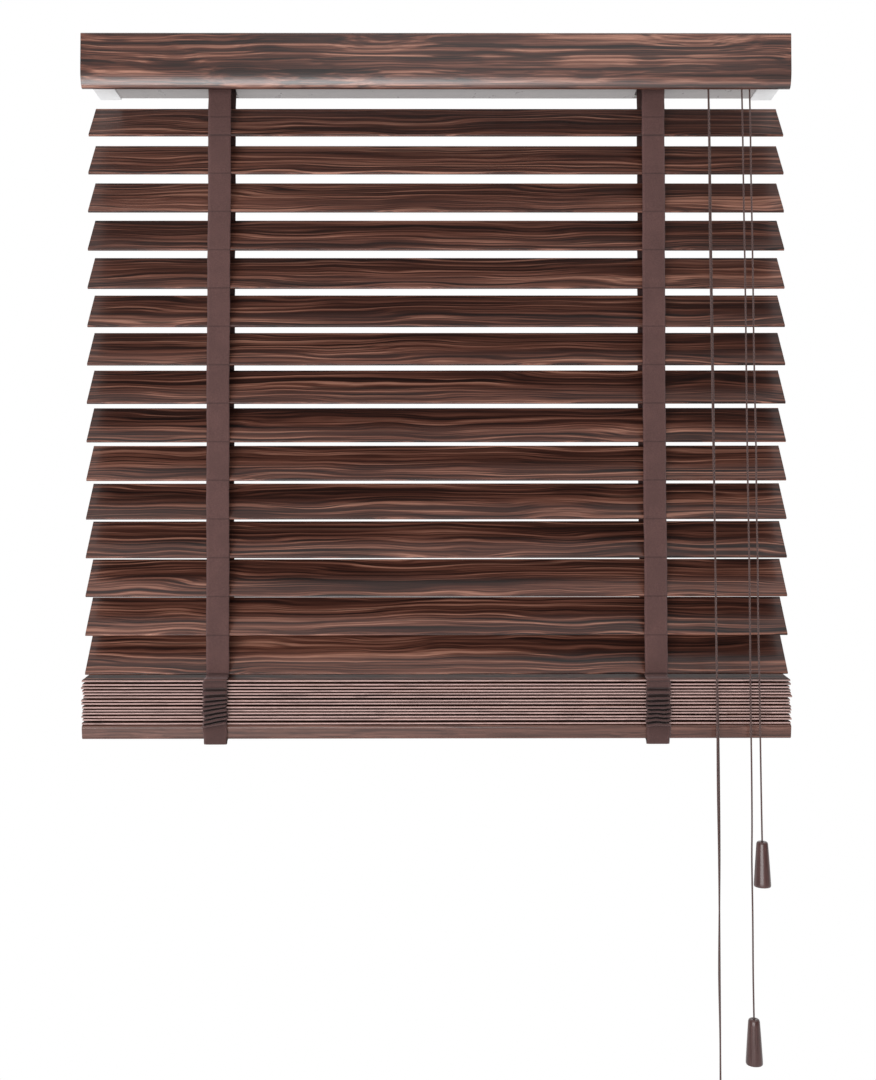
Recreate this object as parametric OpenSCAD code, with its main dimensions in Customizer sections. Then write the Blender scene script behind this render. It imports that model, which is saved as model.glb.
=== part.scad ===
// Wood venetian blind with cloth ladder tapes, cord tilter and cord lock.
// X runs along the slats, +Y points to the wall or window, +Z is up.
// The origin is the middle of the ceiling screw pattern, on top of the box brackets.

/* [Slats] */
// Length of every slat
slat_len = 768; // [700:1:1200]
// Width of a slat, from edge to edge
slat_w = 50; // [49:0.5:50.5]
// Thickness of a slat
slat_t = 3; // [2.8:0.1:3.1]
// Height from one hanging slat to the next
slat_pitch = 42.4; // [42:0.1:44]
// Slope of the hanging slats, front edge down, in degrees
slat_slope = 55; // [50:1:56]
// Length of the slot that the lift cord runs through
slot_len = 18; // [16:0.5:20]
// Width of that slot
slot_w = 6; // [4:0.5:8]

/* [Headrail] */
// Depth of the headrail, front to back
rail_w = 57; // [56:0.5:58]
// Height of the headrail
rail_h = 45; // [44:0.5:46]
// Thickness of the headrail's steel sheet
rail_t = 0.8; // [0.6:0.1:0.9]
// Height of the valance board
valance_h = 59; // [50:1:64]
// Thickness of the valance board
valance_t = 9; // [7:0.5:10]

/* [Ladders and cords] */
// Width of the cloth ladder tape
tape_w = 25; // [20:1:26]
// Thickness of the tape
tape_t = 0.8; // [0.5:0.1:1]
// Distance of each ladder from the slat's end
ladder_inset = 144.5; // [120:0.5:180]
// Diameter of the lift and tilt cords
cord_d = 1.8; // [1.4:0.1:2]

/* [Stack] */
// Number of spare slats lying on the bottom rail
stack_count = 14; // [1:1:14]
// Height from one stacked slat to the next
stack_pitch = 3.5; // [3.4:0.05:3.6]
// Lean of the stack, front edge down, in degrees
stack_lean = 8; // [6:0.5:9]
// Thickness of the bottom rail
bottom_rail_h = 15.4; // [12:0.2:16]

/* [Hidden] */
hanging = 15;
function two(k) = k < 10 ? str("0", k) : str(k);

// heights
bracket_t = 1.2;
rail_top = -2.5;
rail_z0 = rail_top - rail_h;
floor_z = rail_z0 + rail_t;
slat1_z = rail_z0 - 39;
function slat_z(k) = slat1_z - (k - 1) * slat_pitch;

// lengths along the slats
rail_len = slat_len - 16;
valance_len = slat_len + 2;
ladder_x = slat_len / 2 - ladder_inset;
bracket_x1 = slat_len / 2;
bracket_x0 = bracket_x1 - 24;
tilter_x = slat_len / 2 - 85.5;
lock_x = slat_len / 2 - 44.5;

// slat edges and tapes: the tape clears the round edge by tape_gap at every slope
edge_r = slat_w / 2 - slat_t / 2;
tape_gap = 0.3;
tape_y = edge_r * cos(slat_slope) + slat_t / 2 + tape_gap;
edge_drop = edge_r * sin(slat_slope);
edge_play = 1;

// brackets and their screw holes
bracket_y = 30.5;
gate_t = 1.2;
screw_r = 2.2;
screw_x = slat_len / 2 - 12;
ceiling_screw_y = 14;
wall_screw_z = [-15, -35];

// valance
valance_top = -4.5;
valance_y = -43;
valance_curve_h = 20;
valance_curve_in = 6.5;
clip_t = 0.5;

// headrail openings
opening_x = 28.4;
opening_y = 53.2;
lip = 6;
outlet_depth = 9;
outlet_h = 5;
outlet_gap = 0.5;
outlet_block_h = 4;
tilter_outlet_w = 20;
lock_outlet_w = 24;

// tilt shaft, drum, gear and worm
rod_s = 6.3;
rod_bore = 6.5;
rod_z = -24.5;
rod_x0 = -ladder_x - 26;
rod_x1 = tilter_x + 15;
drum_r = 9;
drum_len = 23;
journal_r = 6;
run_gap = 0.1;
tower_x = opening_x / 2;
tower_t = 3;
tower_y = 12;
rim_h = 2.2;
gear_teeth = 12;
gear_mean_r = 7.75;
gear_wave = 1.15;
gear_w = 3;
gear_hub_r = 5.5;
worm_r = 2.7;
worm_wave = 1.1;
worm_lead = 4.19;
worm_turns = 4;
worm_z = rod_z - 11.1;
worm_journal_r = 2;
worm_len = worm_lead * worm_turns;
pulley_r = 6;
pulley_groove_r = 4.6;
pulley_y = -24.4;
pulley_w = 5;
loop_r = 6;
loop_cord_r = 0.8;

// tilter housing
tilter_w = 20;
plate_t = 1.5;
cheek_t = 2;

// cord lock
lock_w = 25;
wheel_r = 4;
wheel_y = -20;
wheel_z = -34;
wheel_pin_r = 1.5;
pin_r = 3;
pin_y = -13.3;
pin_z = -27.3;
pin_end_r = 1.5;
pin_travel = 4;
pin_rise = 60;

// bottom stack
top_stack_z = slat1_z - 617.2;
function stack_z(i) = top_stack_z - i * stack_pitch;
bottom_rail_z = stack_z(13) - 9.7;
bottom_edge_r = 3;
plug_r = 7;
plug_h = 3;
bunch_w = 27;
bunch_y0 = 26.6;
bunch_y1 = 32.6;
bunch_top = top_stack_z - 2.5;
bunch_bottom = bottom_rail_z - bottom_rail_h / 2 - 5;
tab_gap = 0.3;
tab_t = 1.6;
tab_in = 12;

// tassels
tassel_h = 48;
tassel_r0 = 6.2;
tassel_r1 = 9;
tassel_bore_r = 6.4;
tassel_bore_h = 26;

// Routes of the free cords, from the outlet under the headrail to the top of each tassel.
pull_left_route = [
    [335, -27, -47.5], [335, -27.5, -60], [335.5, -28, -110], [336, -28, -180],
    [336.5, -29, -250], [337, -29, -320], [337, -30, -400], [337.5, -30, -480],
    [338, -31, -560], [338.5, -31, -640], [338.5, -31, -720], [339, -31, -800],
    [339, -31, -860], [338.5, -31, -900], [339, -31, -960], [339, -31, -1020],
    [339.5, -31, -1068]];
pull_right_route = [
    [343.5, -27, -47.5], [343.5, -27.5, -60], [344, -28, -110], [344, -29, -160],
    [344.5, -30, -220], [345, -30, -280], [345, -31, -340], [345.5, -32, -400],
    [346, -33, -460], [346, -33, -520], [346.5, -34, -580], [346.5, -34, -640],
    [347, -35, -700], [347.5, -35, -760], [348, -35, -820], [348.5, -35.5, -878]];
tilt_front_route = [
    [298, -27.2, -47.5], [298, -28, -60], [298, -29, -80], [298, -30, -120],
    [298, -30, -190], [298.5, -30, -260], [299, -31, -330], [299.5, -31, -400],
    [300, -32, -470], [301, -32, -540], [301, -33, -610], [301.5, -33, -680],
    [301.5, -34, -750], [301.5, -34, -820], [302, -35, -890], [302, -36, -950],
    [301.5, -38, -1020], [301, -40, -1085], [300.5, -41, -1138]];
tilt_back_route = [
    [299, -23.8, -47.5], [299, -25, -58], [299, -26.5, -75], [299.5, -27.5, -120],
    [300, -27.5, -190], [300.5, -27.5, -260], [301, -28, -330], [301.5, -28, -400],
    [301.5, -29, -470], [301.5, -29, -540], [302, -30, -610], [302.5, -30, -680],
    [303.5, -31, -750], [304, -31, -820], [304, -31, -890], [303.5, -30, -950],
    [303, -28, -1020], [304.5, -25, -1085], [305.5, -22, -1150]];
// Routes of the two lift cords inside the headrail, from slat 1 to the outlet.
lift_left_route = [
    [-239.5, 0, -86.5], [-239.5, 0, -70], [-239.5, 1.2, -56], [-239, 6, -47.5], [-235.5, 11.5, -43.2],
    [-228, 13.6, -42.4], [-220, 14.6, -42.4], [-205, 17, -42.4], [-140, 17, -42.4], [0, 17, -42.4],
    [140, 17, -42.4], [240, 17, -42.4], [310, 17, -42.4], [324, 13, -42.2], [331.5, 6, -42],
    [335, -3, -41.6], [335, -9, -37.6], [335, -12.5, -34.2], [335, -16.3, -30.4],
    [335, -20, -29], [335, -23.7, -30.4], [335, -25.2, -34], [335, -26, -38],
    [335, -26.4, -41.4], [335, -27, -44.4], [335, -27, -47.2]];
lift_right_route = [
    [239.5, 0, -86.5], [239.5, 0, -70], [239.5, 1.2, -56], [240, 6, -47.5], [243.5, 11.5, -43.2],
    [251, 13.6, -42.4], [259, 14.8, -42.4], [272, 18.5, -42.4], [290, 21, -42.4], [318, 20.5, -42.4],
    [332, 15, -42.2], [340.5, 6, -42], [343.5, -3, -41.6], [343.5, -9, -37.6], [343.5, -12.5, -34.2],
    [343.5, -16.3, -30.4], [343.5, -20, -29], [343.5, -23.7, -30.4], [343.5, -25.2, -34],
    [343.5, -26, -38], [343.5, -26.4, -41.4], [343.5, -27, -44.4], [343.5, -27, -47.2]];

// helpers

// Extrudes a (y, z) outline along X, centred.
module along_x(len) { rotate([90, 0, 90]) linear_extrude(height = len, center = true) children(); }

module at_ladders() { for (side = [-1, 1]) translate([side * ladder_x, 0, 0]) children(); }

module both_ends() { for (side = [0, 1]) mirror([side, 0, 0]) children(); }

function spline(p0, p1, p2, p3, t) =
    0.5 * (2 * p1 + (p2 - p0) * t + (2 * p0 - 5 * p1 + 4 * p2 - p3) * t * t
    + (3 * p1 - p0 - 3 * p2 + p3) * t * t * t);
// A smooth run through the route's points, with steps stretches between each two.
function smooth(route, steps) = let (n = len(route) - 1) concat(
    [for (i = [0 : n - 1], s = [0 : steps - 1])
        spline(route[max(i - 1, 0)], route[i], route[i + 1], route[min(i + 2, n)], s / steps)],
    [route[n]]);
function unit(v) = v / norm(v);
function heading(path, i) = unit(path[min(i + 1, len(path) - 1)] - path[max(i - 1, 0)]);
// The ring's first direction is level with the cord wherever the cord isn't level itself.
function side_of(d) = abs(d.z) > 0.5 ? unit(cross(d, [0, 1, 0])) : unit(cross(d, [0, 0, 1]));
function turned(d, ref) = let (flat = ref - (ref * d) * d) unit(flat);
function sides_along(path, i, last) = i == len(path) ? [] :
    let (d = heading(path, i), s = turned(d, last)) concat([s], sides_along(path, i + 1, s));

// A round cord swept along a route.
module cord(route, r, steps = 2, sides = 8) {
    path = smooth(route, steps);
    across = sides_along(path, 0, side_of(heading(path, 0)));
    count = len(path);
    ring_points = [for (i = [0 : count - 1])
        let (d = heading(path, i), u = across[i], v = cross(d, u))
        for (s = [0 : sides - 1]) path[i] + r * (cos(s * 360 / sides) * u + sin(s * 360 / sides) * v)];
    walls = [for (i = [0 : count - 2], s = [0 : sides - 1])
        let (a = i * sides + s, b = i * sides + (s + 1) % sides) [a, a + sides, b + sides, b]];
    start_cap = [[for (s = [0 : sides - 1]) s]];
    end_cap = [[for (s = [0 : sides - 1]) (count - 1) * sides + sides - 1 - s]];
    polyhedron(points = ring_points, faces = concat(start_cap, walls, end_cap), convexity = 10);
}

// headrail, brackets and valance

module rail_section() {
    translate([-rail_w / 2, rail_z0]) square([rail_w, rail_t]);
    for (side = [0, 1]) mirror([side, 0]) translate([-rail_w / 2, 0]) {
        translate([0, rail_z0]) square([rail_t, rail_h]);
        translate([0, rail_top - rail_t]) square([lip, rail_t]);
    }
}

module outlet_cut(x, w) {
    translate([x - w / 2, -rail_w / 2 - 1, rail_z0 - 1]) cube([w, outlet_depth + 1, outlet_h + 1]);
}

module headrail() {
    color("lightgray") difference() {
        along_x(rail_len) rail_section();
        at_ladders() translate([0, 0, rail_z0]) cube([opening_x, opening_y, 4], center = true);
        outlet_cut(tilter_x, tilter_outlet_w);
        outlet_cut(lock_x, lock_outlet_w);
    }
}

module screw_hole(length) { cylinder(r = screw_r, h = length, center = true, $fn = 32); }

// One box bracket: top, back, floor and outer side, open towards the rail and to the front.
module box_bracket() {
    w = bracket_x1 - bracket_x0;
    depth = 2 * bracket_y;
    height = bracket_t - rail_z0;
    difference() {
        translate([bracket_x0, -bracket_y, -height]) cube([w, depth, height]);
        translate([bracket_x0 - 1, -bracket_y - 1, -height + bracket_t])
            cube([w + 1 - bracket_t, depth + 1 - bracket_t, height - 2 * bracket_t]);
        for (side = [-1, 1]) translate([screw_x, side * ceiling_screw_y, 0]) screw_hole(6);
        for (z = wall_screw_z) translate([screw_x, bracket_y, z]) rotate([90, 0, 0]) screw_hole(6);
    }
}

module box_brackets() { color("white") both_ends() box_bracket(); }

module bracket_gates() {
    w = bracket_x1 - bracket_x0;
    color("white") both_ends() translate([bracket_x0, -bracket_y - gate_t, rail_z0 - bracket_t]) {
        cube([w, gate_t, bracket_t - rail_z0 - 3]);
        translate([0, -1.8, bracket_t - rail_z0 - 5]) cube([w, 2.4, 2]);
    }
}

// Flat board whose lower front rolls back in a quarter of an oval.
module valance_section() {
    low = valance_top - valance_h;
    back = valance_y + valance_t;
    roll = [for (a = [0 : 7.5 : 82.5])
        [valance_y + valance_curve_in * (1 - cos(a)), low + valance_curve_h * (1 - sin(a))]];
    crown = [for (a = [0 : 22.5 : 90])
        [valance_y + 2 * (1 - sin(a)), valance_top - 2 * (1 - cos(a))]];
    polygon(concat(roll, [[valance_y + valance_curve_in, low], [back - 1, low], [back, low + 1],
        [back, valance_top]], crown));
}

module valance() { color("#3b2220") along_x(valance_len) valance_section(); }

// Clip hooked over the headrail's front lip, with a pad that the valance is stuck and held to.
module valance_clip() {
    back = valance_y + valance_t;
    front_of_rail = -rail_w / 2;
    along_x(14) {
        translate([back, rail_z0 + 8]) square([front_of_rail - back, 34]);
        translate([back, rail_top]) square([rail_w / 2 + back + 14, clip_t]);
        translate([back, rail_z0 + 8]) square([2, rail_top + clip_t - rail_z0 - 8]);
    }
}

module valance_clips() {
    color("gainsboro") for (x = [-slat_len * 0.4, 0, slat_len * 0.4]) translate([x, 0, 0]) valance_clip();
}

// tilt shaft

module square_bar(s, len) { cube([len, s, s], center = true); }

module ladder_cradle() {
    difference() {
        union() {
            translate([0, 0, floor_z + rim_h / 2])
                cube([opening_x + 12, opening_y + 2, rim_h], center = true);
            for (side = [-1, 1])
                translate([side * (tower_x + tower_t / 2), 0, (floor_z + rod_z + 9) / 2])
                    cube([tower_t, 2 * tower_y, rod_z + 9 - floor_z], center = true);
        }
        translate([0, 0, floor_z]) cube([opening_x, opening_y, 3 * rim_h], center = true);
        translate([0, 0, rod_z]) rotate([0, 90, 0])
            cylinder(r = journal_r + run_gap, h = 50, center = true, $fn = 48);
    }
}

module ladder_cradles() { color("white") at_ladders() ladder_cradle(); }

module tilt_rod() {
    color("silver") translate([(rod_x0 + rod_x1) / 2, 0, rod_z]) square_bar(rod_s, rod_x1 - rod_x0);
}

module tilt_drum() {
    translate([0, 0, rod_z]) difference() {
        rotate([0, 90, 0]) union() {
            cylinder(r = drum_r, h = drum_len, center = true, $fn = 48);
            cylinder(r = journal_r, h = 2 * (tower_x + tower_t) + 2, center = true, $fn = 48);
        }
        square_bar(rod_bore, 60);
    }
}

module tilt_drums() { color("white") at_ladders() tilt_drum(); }

// cord tilter

module gear_outline() {
    polygon([for (i = [0 : gear_teeth * 8 - 1]) let (a = i * 360 / (gear_teeth * 8))
        (gear_mean_r + gear_wave * cos(gear_teeth * a)) * [cos(a), sin(a)]]);
}

module tilter_gear() {
    color("white") translate([tilter_x, 0, rod_z]) difference() {
        union() {
            rotate([90, 0, 90]) linear_extrude(height = gear_w, center = true) gear_outline();
            rotate([0, 90, 0]) cylinder(r = gear_hub_r, h = tilter_w - 0.4, center = true, $fn = 48);
        }
        square_bar(rod_bore, 60);
    }
}

// Worm whose thread is a round core set off its axis and twisted, with the cord pulley in front.
module tilter_worm() {
    color("white") translate([tilter_x, 0, worm_z]) rotate([-90, 0, 0]) {
        linear_extrude(height = worm_len, center = true, twist = 360 * worm_turns, slices = 48)
            translate([0, worm_wave]) circle(r = worm_r, $fn = 20);
        translate([0, 0, worm_len / 2]) cylinder(r = worm_journal_r, h = 4, $fn = 32);
        translate([0, 0, pulley_y - 0.5])
            cylinder(r = worm_journal_r, h = -pulley_y - worm_len / 2 + 0.5, $fn = 32);
        translate([0, 0, pulley_y]) rotate_extrude($fn = 48) polygon([
            [0, -pulley_w / 2], [pulley_r, -pulley_w / 2], [pulley_groove_r, -0.8],
            [pulley_groove_r, 0.8], [pulley_r, pulley_w / 2], [0, pulley_w / 2]]);
    }
}

// Block in an outlet, with a hole where each route starts.
module outlet_block(middle, w, routes) {
    difference() {
        translate([middle - w / 2 + 0.2, -rail_w / 2 - 0.4, rail_z0 - 0.8])
            cube([w - 0.4, outlet_depth, outlet_block_h]);
        for (route = routes) translate([route[0].x, route[0].y, rail_z0])
            cylinder(r = cord_d / 2 + outlet_gap, h = 20, center = true, $fn = 24);
    }
}

module tilter_housing() {
    wall_y = 10;
    color("whitesmoke") {
        translate([tilter_x, 0, 0]) difference() {
            union() {
                translate([-tilter_w / 2, -rail_w / 2 + outlet_depth - 1, floor_z])
                    cube([tilter_w, rail_w / 2 - outlet_depth + 15, plate_t]);
                for (x = [-tilter_w / 2, tilter_w / 2 - cheek_t])
                    translate([x, -9, floor_z]) cube([cheek_t, 18, rod_z + 9 - floor_z]);
                for (y = [-wall_y - cheek_t, wall_y])
                    translate([-tilter_w / 2, y, floor_z]) cube([tilter_w, cheek_t, worm_z + 5 - floor_z]);
                for (x = [-tilter_w / 2, tilter_w / 2 - cheek_t])
                    translate([x, -wall_y - cheek_t, floor_z])
                        cube([cheek_t, 2 * (wall_y + cheek_t), worm_z + 5 - floor_z]);
            }
            translate([0, 0, rod_z]) rotate([0, 90, 0])
                cylinder(r = gear_hub_r + run_gap, h = 40, center = true, $fn = 48);
            translate([0, 0, worm_z]) rotate([90, 0, 0])
                cylinder(r = worm_journal_r + run_gap, h = 60, center = true, $fn = 32);
        }
        outlet_block(tilter_x, tilter_outlet_w, [tilt_front_route, tilt_back_route]);
    }
}

// cord lock

module cross_pin(y, z, r, len) {
    translate([lock_x, y, z]) rotate([0, 90, 0]) cylinder(r = r, h = len, center = true, $fn = 32);
}

module cord_lock_wheel() {
    color("goldenrod") {
        cross_pin(wheel_y, wheel_z, wheel_r, lock_w - 2 * cheek_t - 1);
        cross_pin(wheel_y, wheel_z, wheel_pin_r, lock_w + 0.8);
    }
}

module cord_lock_pin() {
    color("silver") {
        cross_pin(pin_y, pin_z, pin_r, lock_w - 2 * cheek_t - 1);
        cross_pin(pin_y, pin_z, pin_end_r, lock_w + 0.8);
    }
}

module cord_lock_housing() {
    slide = pin_travel * [cos(pin_rise), sin(pin_rise)];
    slot_r = pin_end_r + run_gap;
    color("whitesmoke") {
        translate([lock_x, 0, 0]) difference() {
            union() {
                translate([-lock_w / 2, -rail_w / 2 + outlet_depth - 1, floor_z])
                    cube([lock_w, rail_w / 2 - outlet_depth + 5, plate_t]);
                for (x = [-lock_w / 2, lock_w / 2 - cheek_t])
                    translate([x, -26.5, floor_z]) cube([cheek_t, 30, rail_top - 12 - floor_z]);
            }
            translate([0, wheel_y, wheel_z]) rotate([0, 90, 0])
                cylinder(r = wheel_pin_r + run_gap, h = 40, center = true, $fn = 32);
            for (s = [0, 1]) translate([0, pin_y + s * slide.x, pin_z + s * slide.y]) rotate([0, 90, 0])
                cylinder(r = slot_r, h = 40, center = true, $fn = 32);
            translate([0, pin_y + slide.x / 2, pin_z + slide.y / 2]) rotate([pin_rise, 0, 0])
                cube([40, pin_travel, 2 * slot_r], center = true);
        }
        outlet_block(lock_x, lock_outlet_w, [pull_left_route, pull_right_route]);
    }
}

// One side of the tilt cord's loop, from its outlet up to the worm's pulley: side -1 in front, 1 behind.
function loop_side(side) = let (out = (side < 0 ? tilt_front_route : tilt_back_route)[0]) [
    [out.x, out.y, rail_z0 + 0.3], [out.x, out.y, rail_z0 + 2.5], [out.x + side * 0.2, out.y, rail_z0 + 4.3],
    [tilter_x + side * 4.2, (out.y + pulley_y) / 2, worm_z - 5.3],
    [tilter_x + side * 5.8, pulley_y, worm_z - 2.6]];

module headrail_cords() {
    color("#2a1618") {
        cord(lift_left_route, cord_d / 2);
        cord(lift_right_route, cord_d / 2);
        cord(concat(loop_side(-1), [for (a = [180 : -20 : 0])
            [tilter_x + loop_r * cos(a), pulley_y, worm_z + loop_r * sin(a)]],
            [for (i = [4 : -1 : 0]) loop_side(1)[i]]), loop_cord_r);
    }
}

// slats, tapes and lift cords

// A slat lying level about its own middle: flat board with round edges and the two cord slots.
module slat() {
    difference() {
        along_x(slat_len) {
            square([2 * edge_r, slat_t], center = true);
            for (side = [-1, 1]) translate([side * edge_r, 0]) circle(d = slat_t, $fn = 24);
        }
        at_ladders() {
            cube([slot_w, slot_len - slot_w, 3 * slat_t], center = true);
            for (side = [-1, 1]) translate([0, side * (slot_len - slot_w) / 2, 0])
                cylinder(d = slot_w, h = 3 * slat_t, center = true, $fn = 24);
        }
    }
}

module hanging_slat(k) {
    color("#3b2220") translate([0, 0, slat_z(k)]) rotate([slat_slope, 0, 0]) slat();
}

// Pair of lift cord stretches that reach from slat k - 1 down to slat k.
module lift_cord(k) {
    low = k > hanging ? bottom_rail_z - bottom_rail_h / 2 + plug_h : slat_z(k);
    color("#2a1618") at_ladders() translate([0, 0, low])
        cylinder(d = cord_d, h = slat_z(k - 1) - low, $fn = 16);
}

module tape_run(y, top, low) {
    at_ladders() translate([-tape_w / 2, y, low]) cube([tape_w, tape_t, top - low]);
}

module front_tapes() {
    color("#33201f") tape_run(-tape_y - tape_t, floor_z + 3.6, slat_z(hanging) - edge_drop - edge_play);
}

module back_tapes() {
    color("#2a1a1a") tape_run(tape_y, rail_top + 0.4, slat_z(hanging) + edge_drop - edge_play);
}

// Slack tape folded over the stack's front and back, with its end tucked under the bottom rail.
module tape_bunch(side) {
    along_x(bunch_w) mirror([side, 0]) {
        translate([-bunch_y1, bunch_bottom]) square([bunch_y1 - bunch_y0, bunch_top - bunch_bottom]);
        translate([0, bottom_rail_z]) rotate(side == 0 ? stack_lean : -stack_lean)
            translate([-29.5, -bottom_rail_h / 2 - tab_gap - tab_t]) square([29.5 - tab_in, tab_t]);
    }
}

module tape_bunches() { color("#33201f") for (side = [0, 1]) at_ladders() tape_bunch(side); }

module stacked_slats() {
    color("#4a2c28") for (i = [0 : stack_count - 1])
        translate([0, 0, stack_z(i)]) rotate([stack_lean, 0, 0]) slat();
}

module bottom_rail_outline() {
    w = slat_w / 2 - bottom_edge_r;
    h = bottom_rail_h / 2 - bottom_edge_r;
    square([2 * w, bottom_rail_h], center = true);
    square([slat_w, 2 * h], center = true);
    for (y = [-w, w], z = [-h, h]) translate([y, z]) circle(r = bottom_edge_r, $fn = 24);
}

module in_bottom_rail() { translate([0, 0, bottom_rail_z]) rotate([stack_lean, 0, 0]) children(); }

module bottom_rail() {
    color("#3b2220") in_bottom_rail() difference() {
        along_x(slat_len) bottom_rail_outline();
        at_ladders() {
            cylinder(d = slot_w, h = 2 * bottom_rail_h, center = true, $fn = 32);
            translate([0, 0, -bottom_rail_h / 2 - 1]) cylinder(r = plug_r, h = plug_h + 1, $fn = 48);
        }
    }
}

// Plugs pressed into the bottom rail's underside over the knots of the lift cords.
module rail_plugs() {
    color("#2a1a1a") in_bottom_rail() at_ladders() translate([0, 0, -bottom_rail_h / 2])
        cylinder(r = plug_r - 0.1, h = plug_h - 0.5, $fn = 48);
}

// free cords and tassels

module tassel(route) {
    end = route[len(route) - 1];
    color("#3b2220") translate(end - [0, 0, tassel_h]) difference() {
        rotate_extrude($fn = 48) polygon([
            [0, 0], [tassel_r1 - 0.8, 0], [tassel_r1, 0.8], [tassel_r1, 3], [tassel_r0, tassel_h - 2],
            [tassel_r0 - 1.6, tassel_h], [0, tassel_h]]);
        translate([0, 0, -1]) cylinder(r1 = tassel_bore_r + 0.6, r2 = 3, h = tassel_bore_h, $fn = 40);
    }
}

module free_cord(route) { color("#2a1618") cord(route, cord_d / 2); }

headrail();
box_brackets();
bracket_gates();
valance();
valance_clips();
ladder_cradles();
tilt_rod();
tilt_drums();
tilter_housing();
tilter_gear();
tilter_worm();
cord_lock_housing();
cord_lock_wheel();
cord_lock_pin();
headrail_cords();
front_tapes();
back_tapes();
tape_bunches();
for (k = [1 : hanging]) hanging_slat(k);
for (k = [2 : hanging + 1]) lift_cord(k);
stacked_slats();
bottom_rail();
rail_plugs();
free_cord(tilt_front_route);  // tilt_cord_front
free_cord(tilt_back_route);  // tilt_cord_back
tassel(tilt_front_route);  // tilt_tassel_front
tassel(tilt_back_route);  // tilt_tassel_back
free_cord(pull_left_route);  // pull_cord_left
free_cord(pull_right_route);  // pull_cord_right
tassel(pull_left_route);  // pull_tassel_left
tassel(pull_right_route);  // pull_tassel_right
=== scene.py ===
import bpy
import math
import random
from mathutils import Matrix, Vector


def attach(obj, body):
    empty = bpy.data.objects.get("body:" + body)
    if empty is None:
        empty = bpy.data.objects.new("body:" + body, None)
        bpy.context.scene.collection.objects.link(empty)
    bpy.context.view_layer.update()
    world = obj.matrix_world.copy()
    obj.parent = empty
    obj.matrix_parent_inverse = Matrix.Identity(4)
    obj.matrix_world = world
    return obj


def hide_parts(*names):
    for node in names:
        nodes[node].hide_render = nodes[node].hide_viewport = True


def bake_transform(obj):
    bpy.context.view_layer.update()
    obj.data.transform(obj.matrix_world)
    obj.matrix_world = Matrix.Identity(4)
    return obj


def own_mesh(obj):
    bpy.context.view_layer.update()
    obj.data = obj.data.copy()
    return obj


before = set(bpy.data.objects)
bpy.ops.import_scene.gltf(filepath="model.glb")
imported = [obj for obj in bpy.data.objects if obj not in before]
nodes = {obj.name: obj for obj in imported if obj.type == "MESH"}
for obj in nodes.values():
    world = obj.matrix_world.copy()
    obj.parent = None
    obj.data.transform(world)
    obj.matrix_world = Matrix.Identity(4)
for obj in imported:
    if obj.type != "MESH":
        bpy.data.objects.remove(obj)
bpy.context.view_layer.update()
print("frame loaded with", len(nodes), "nodes")

# the numbers that part.scad uses too, in metres
blind = {
    "hanging": 15,
    "pitch": 0.0424,
    "firstSlat": -0.0865,
    "slope": math.radians(55),
    "edge": 0.0235,
    "ladder": 0.2395,
    "raise": 0.476,
    "stackTop": -0.7037,
    "stackPitch": 0.0035,
    "stackLean": math.radians(8),
    "rail": -0.7589,
    "railThick": 0.0154,
}
edgeDrop = blind["edge"] * math.sin(blind["slope"])


def slatHeight(number):
    return blind["firstSlat"] - (number - 1) * blind["pitch"]


# camera and light

view = {"place": (-0.003, -1.280, -0.5855), "up": 1.43, "turn": -0.2, "roll": 0.06, "lens": 38.5}
lens = bpy.data.cameras.new("camera")
lens.lens = view["lens"]
lens.sensor_width = 36
lens.clip_start = 0.01
camera = bpy.data.objects.new("camera", lens)
camera.location = view["place"]
camera.rotation_euler = [math.radians(angle) for angle in (90 + view["up"], view["roll"], view["turn"])]
bpy.context.collection.objects.link(camera)
bpy.context.scene.camera = camera
bpy.context.scene.view_settings.view_transform = "Standard"


class Graph:
    # short ways to add nodes to one material or world

    def __init__(self, tree):
        self.tree = tree

    def add(self, kind, values=None, **settings):
        made = self.tree.nodes.new("ShaderNode" + kind)
        for key, value in settings.items():
            setattr(made, key, value)
        for key, value in (values or {}).items():
            self.put(made.inputs[key], value)
        return made

    def put(self, socket, value):
        if isinstance(value, bpy.types.NodeSocket):
            self.tree.links.new(value, socket)
        else:
            socket.default_value = value

    def math(self, what, a, b=0.0, c=0.0):
        return self.add("Math", {0: a, 1: b, 2: c}, operation=what).outputs[0]

    def ridges(self, value, step):
        return self.math("ABSOLUTE", self.math("SINE", self.math("MULTIPLY", value, math.pi / step)))

    def fit(self, value, low, high, first=0.0, last=1.0, smooth=True):
        kind = "SMOOTHSTEP" if smooth else "LINEAR"
        values = {"Value": value, "From Min": low, "From Max": high, "To Min": first, "To Max": last}
        return self.add("MapRange", values, interpolation_type=kind).outputs["Result"]

    def noise(self, place, size, detail=2.0, rough=0.5):
        values = {"Vector": place, "Scale": size, "Detail": detail, "Roughness": rough}
        return self.add("TexNoise", values).outputs["Fac"]

    def stretch(self, place, scale, shift=(0, 0, 0)):
        return self.add("Mapping", {"Vector": place, "Scale": scale, "Location": shift}).outputs[0]

    def mix(self, share, a, b, way="MIX"):
        made = self.add("Mix", data_type="RGBA", blend_type=way)
        self.put(made.inputs["Factor"], share)
        self.put(made.inputs["A"], a)
        self.put(made.inputs["B"], b)
        return made.outputs["Result"]

    def ramp(self, value, stops):
        made = self.add("ValToRGB", {"Fac": value})
        band = made.color_ramp
        while len(band.elements) < len(stops):
            band.elements.new(0.5)
        for element, (place, colour) in zip(band.elements, stops):
            element.position = place
            element.color = (*colour, 1)
        return made.outputs["Color"]

    def bump(self, height, strength, depth):
        return self.add("Bump", {"Height": height, "Strength": strength, "Distance": depth}).outputs[0]


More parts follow.
